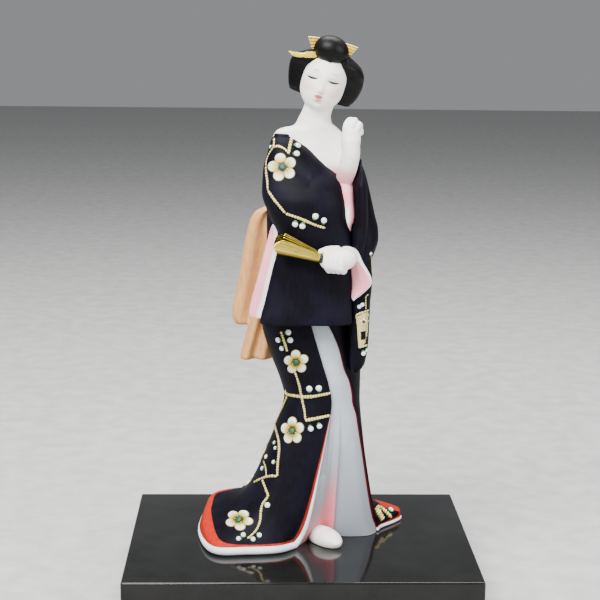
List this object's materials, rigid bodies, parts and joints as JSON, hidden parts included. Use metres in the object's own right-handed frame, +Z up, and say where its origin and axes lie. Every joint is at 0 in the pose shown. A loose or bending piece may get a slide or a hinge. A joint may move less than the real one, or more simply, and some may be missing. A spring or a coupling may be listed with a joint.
{
  "type": "hakata doll",
  "caption": "Painted clay woman in a dark plum-branch kimono with a trailing hem, a raised hand and a closed gold fan, standing on a black lacquered plinth.",
  "frame": {"origin": "centre of the plinth's underside", "axes": "+Z up; the doll's face, fan and open skirt look towards -Y; +X is to the viewer's right"},
  "size_m": [0.27, 0.2, 0.4398],
  "materials": {
    "lacquer": "deep black urushi lacquer, mirror-like, with softly rounded edges",
    "painted_clay": "low-fired clay with matte hand-painted colours: blue-black kimono, white skin, peach obi, red and white hem",
    "gold": "polished gold leaf and gold paint"
  },
  "bodies": {
    "root": {"plinth": "lacquer", "figure": "painted_clay", "folding_fan": "gold", "hair_ribbon": "gold", "hair_pin": "gold"}
  },
  "joints": []
}
